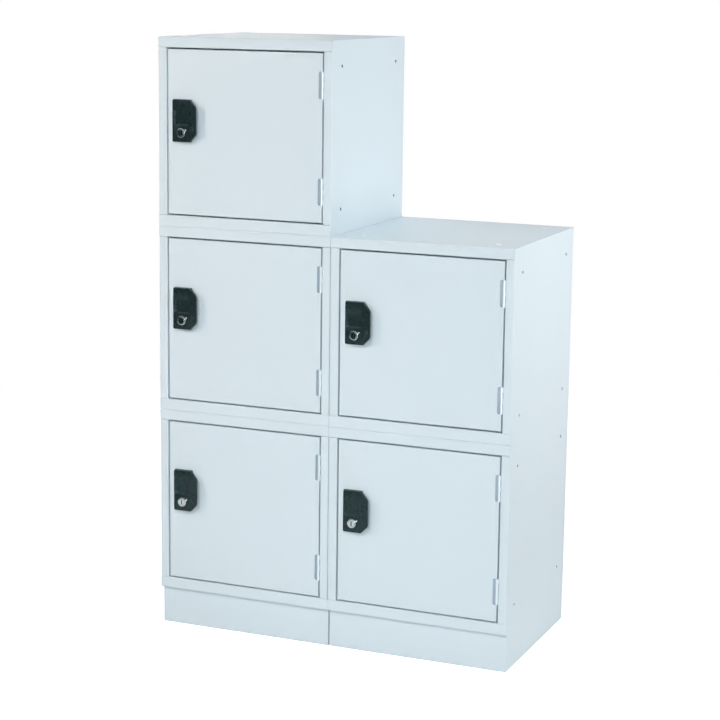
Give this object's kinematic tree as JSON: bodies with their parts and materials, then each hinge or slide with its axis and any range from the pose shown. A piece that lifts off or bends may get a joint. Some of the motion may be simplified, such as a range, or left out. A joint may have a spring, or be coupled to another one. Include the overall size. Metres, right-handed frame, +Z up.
{
  "type": "cube locker bank",
  "caption": "Bank of steel cube lockers bolted in two columns on plinths; each cube has a hinged door, a pull handle and a cam lock.",
  "frame": {"origin": "centre of the bank's footprint, handles included, on the floor", "axes": "+X to the right seen from the front, +Y from the doors to the back, +Z up"},
  "size_m": [0.76, 0.395, 1.218],
  "materials": {
    "body_paint": "pale grey powder coat",
    "door_paint": "pale grey powder coat",
    "plinth_paint": "pale grey powder coat",
    "hinge_steel": "bright zinc plate",
    "black_moulding": "smooth black moulding",
    "lock_chrome": "bright chrome",
    "zinc_steel": "zinc plate",
    "white_plastic": "white moulding"
  },
  "bodies": {
    "cabinet": {"left_top_wrap": "body_paint", "left_top_top_panel": "body_paint", "left_top_bottom_panel": "body_paint", "left_top_hinge_frame_leaves": "hinge_steel", "left_top_hinge_pins": "hinge_steel", "left_middle_wrap": "body_paint", "left_middle_top_panel": "body_paint", "left_middle_bottom_panel": "body_paint", "left_middle_hinge_frame_leaves": "hinge_steel", "left_middle_hinge_pins": "hinge_steel", "left_bottom_wrap": "body_paint", "left_bottom_top_panel": "body_paint", "left_bottom_bottom_panel": "body_paint", "left_bottom_hinge_frame_leaves": "hinge_steel", "left_bottom_hinge_pins": "hinge_steel", "right_top_wrap": "body_paint", "right_top_top_panel": "body_paint", "right_top_bottom_panel": "body_paint", "right_top_hinge_frame_leaves": "hinge_steel", "right_top_hinge_pins": "hinge_steel", "right_bottom_wrap": "body_paint", "right_bottom_top_panel": "body_paint", "right_bottom_bottom_panel": "body_paint", "right_bottom_hinge_frame_leaves": "hinge_steel", "right_bottom_hinge_pins": "hinge_steel", "plinth_left": "plinth_paint", "plinth_right": "plinth_paint", "link_bolts": "zinc_steel", "link_nuts": "zinc_steel", "button_plugs": "white_plastic"},
    "left_top_door_body": {"left_top_door": "door_paint", "left_top_hinge_door_leaves": "hinge_steel", "left_top_lock_handle": "black_moulding", "left_top_lock_barrel": "lock_chrome"},
    "left_top_lock_body": {"left_top_lock_plug": "lock_chrome", "left_top_lock_cam": "zinc_steel"},
    "left_middle_door_body": {"left_middle_door": "door_paint", "left_middle_hinge_door_leaves": "hinge_steel", "left_middle_lock_handle": "black_moulding", "left_middle_lock_barrel": "lock_chrome"},
    "left_middle_lock_body": {"left_middle_lock_plug": "lock_chrome", "left_middle_lock_cam": "zinc_steel"},
    "left_bottom_door_body": {"left_bottom_door": "door_paint", "left_bottom_hinge_door_leaves": "hinge_steel", "left_bottom_lock_handle": "black_moulding", "left_bottom_lock_barrel": "lock_chrome"},
    "left_bottom_lock_body": {"left_bottom_lock_plug": "lock_chrome", "left_bottom_lock_cam": "zinc_steel"},
    "right_top_door_body": {"right_top_door": "door_paint", "right_top_hinge_door_leaves": "hinge_steel", "right_top_lock_handle": "black_moulding", "right_top_lock_barrel": "lock_chrome"},
    "right_top_lock_body": {"right_top_lock_plug": "lock_chrome", "right_top_lock_cam": "zinc_steel"},
    "right_bottom_door_body": {"right_bottom_door": "door_paint", "right_bottom_hinge_door_leaves": "hinge_steel", "right_bottom_lock_handle": "black_moulding", "right_bottom_lock_barrel": "lock_chrome"},
    "right_bottom_lock_body": {"right_bottom_lock_plug": "lock_chrome", "right_bottom_lock_cam": "zinc_steel"}
  },
  "joints": [
    {"name": "left_top_door_hinge", "type": "hinge", "parent": "cabinet", "child": "left_top_door_body", "pos_m": [-0.02, -0.1828, 1.028], "axis": [0, 0, 1], "range_deg": [0, 110]},
    {"name": "left_top_lock_turn", "type": "hinge", "parent": "left_top_door_body", "child": "left_top_lock_body", "pos_m": [-0.3244, -0.1825, 1.0282], "axis": [0, 1, 0], "range_deg": [0, 90]},
    {"name": "left_middle_door_hinge", "type": "hinge", "parent": "cabinet", "child": "left_middle_door_body", "pos_m": [-0.02, -0.1828, 0.648], "axis": [0, 0, 1], "range_deg": [0, 110]},
    {"name": "left_middle_lock_turn", "type": "hinge", "parent": "left_middle_door_body", "child": "left_middle_lock_body", "pos_m": [-0.3244, -0.1825, 0.6482], "axis": [0, 1, 0], "range_deg": [0, 90]},
    {"name": "left_bottom_door_hinge", "type": "hinge", "parent": "cabinet", "child": "left_bottom_door_body", "pos_m": [-0.02, -0.1828, 0.268], "axis": [0, 0, 1], "range_deg": [0, 110]},
    {"name": "left_bottom_lock_turn", "type": "hinge", "parent": "left_bottom_door_body", "child": "left_bottom_lock_body", "pos_m": [-0.3244, -0.1825, 0.2682], "axis": [0, 1, 0], "range_deg": [0, 90]},
    {"name": "right_top_door_hinge", "type": "hinge", "parent": "cabinet", "child": "right_top_door_body", "pos_m": [0.36, -0.1828, 0.648], "axis": [0, 0, 1], "range_deg": [0, 110]},
    {"name": "right_top_lock_turn", "type": "hinge", "parent": "right_top_door_body", "child": "right_top_lock_body", "pos_m": [0.0556, -0.1825, 0.6482], "axis": [0, 1, 0], "range_deg": [0, 90]},
    {"name": "right_bottom_door_hinge", "type": "hinge", "parent": "cabinet", "child": "right_bottom_door_body", "pos_m": [0.36, -0.1828, 0.268], "axis": [0, 0, 1], "range_deg": [0, 110]},
    {"name": "right_bottom_lock_turn", "type": "hinge", "parent": "right_bottom_door_body", "child": "right_bottom_lock_body", "pos_m": [0.0556, -0.1825, 0.2682], "axis": [0, 1, 0], "range_deg": [0, 90]}
  ]
}
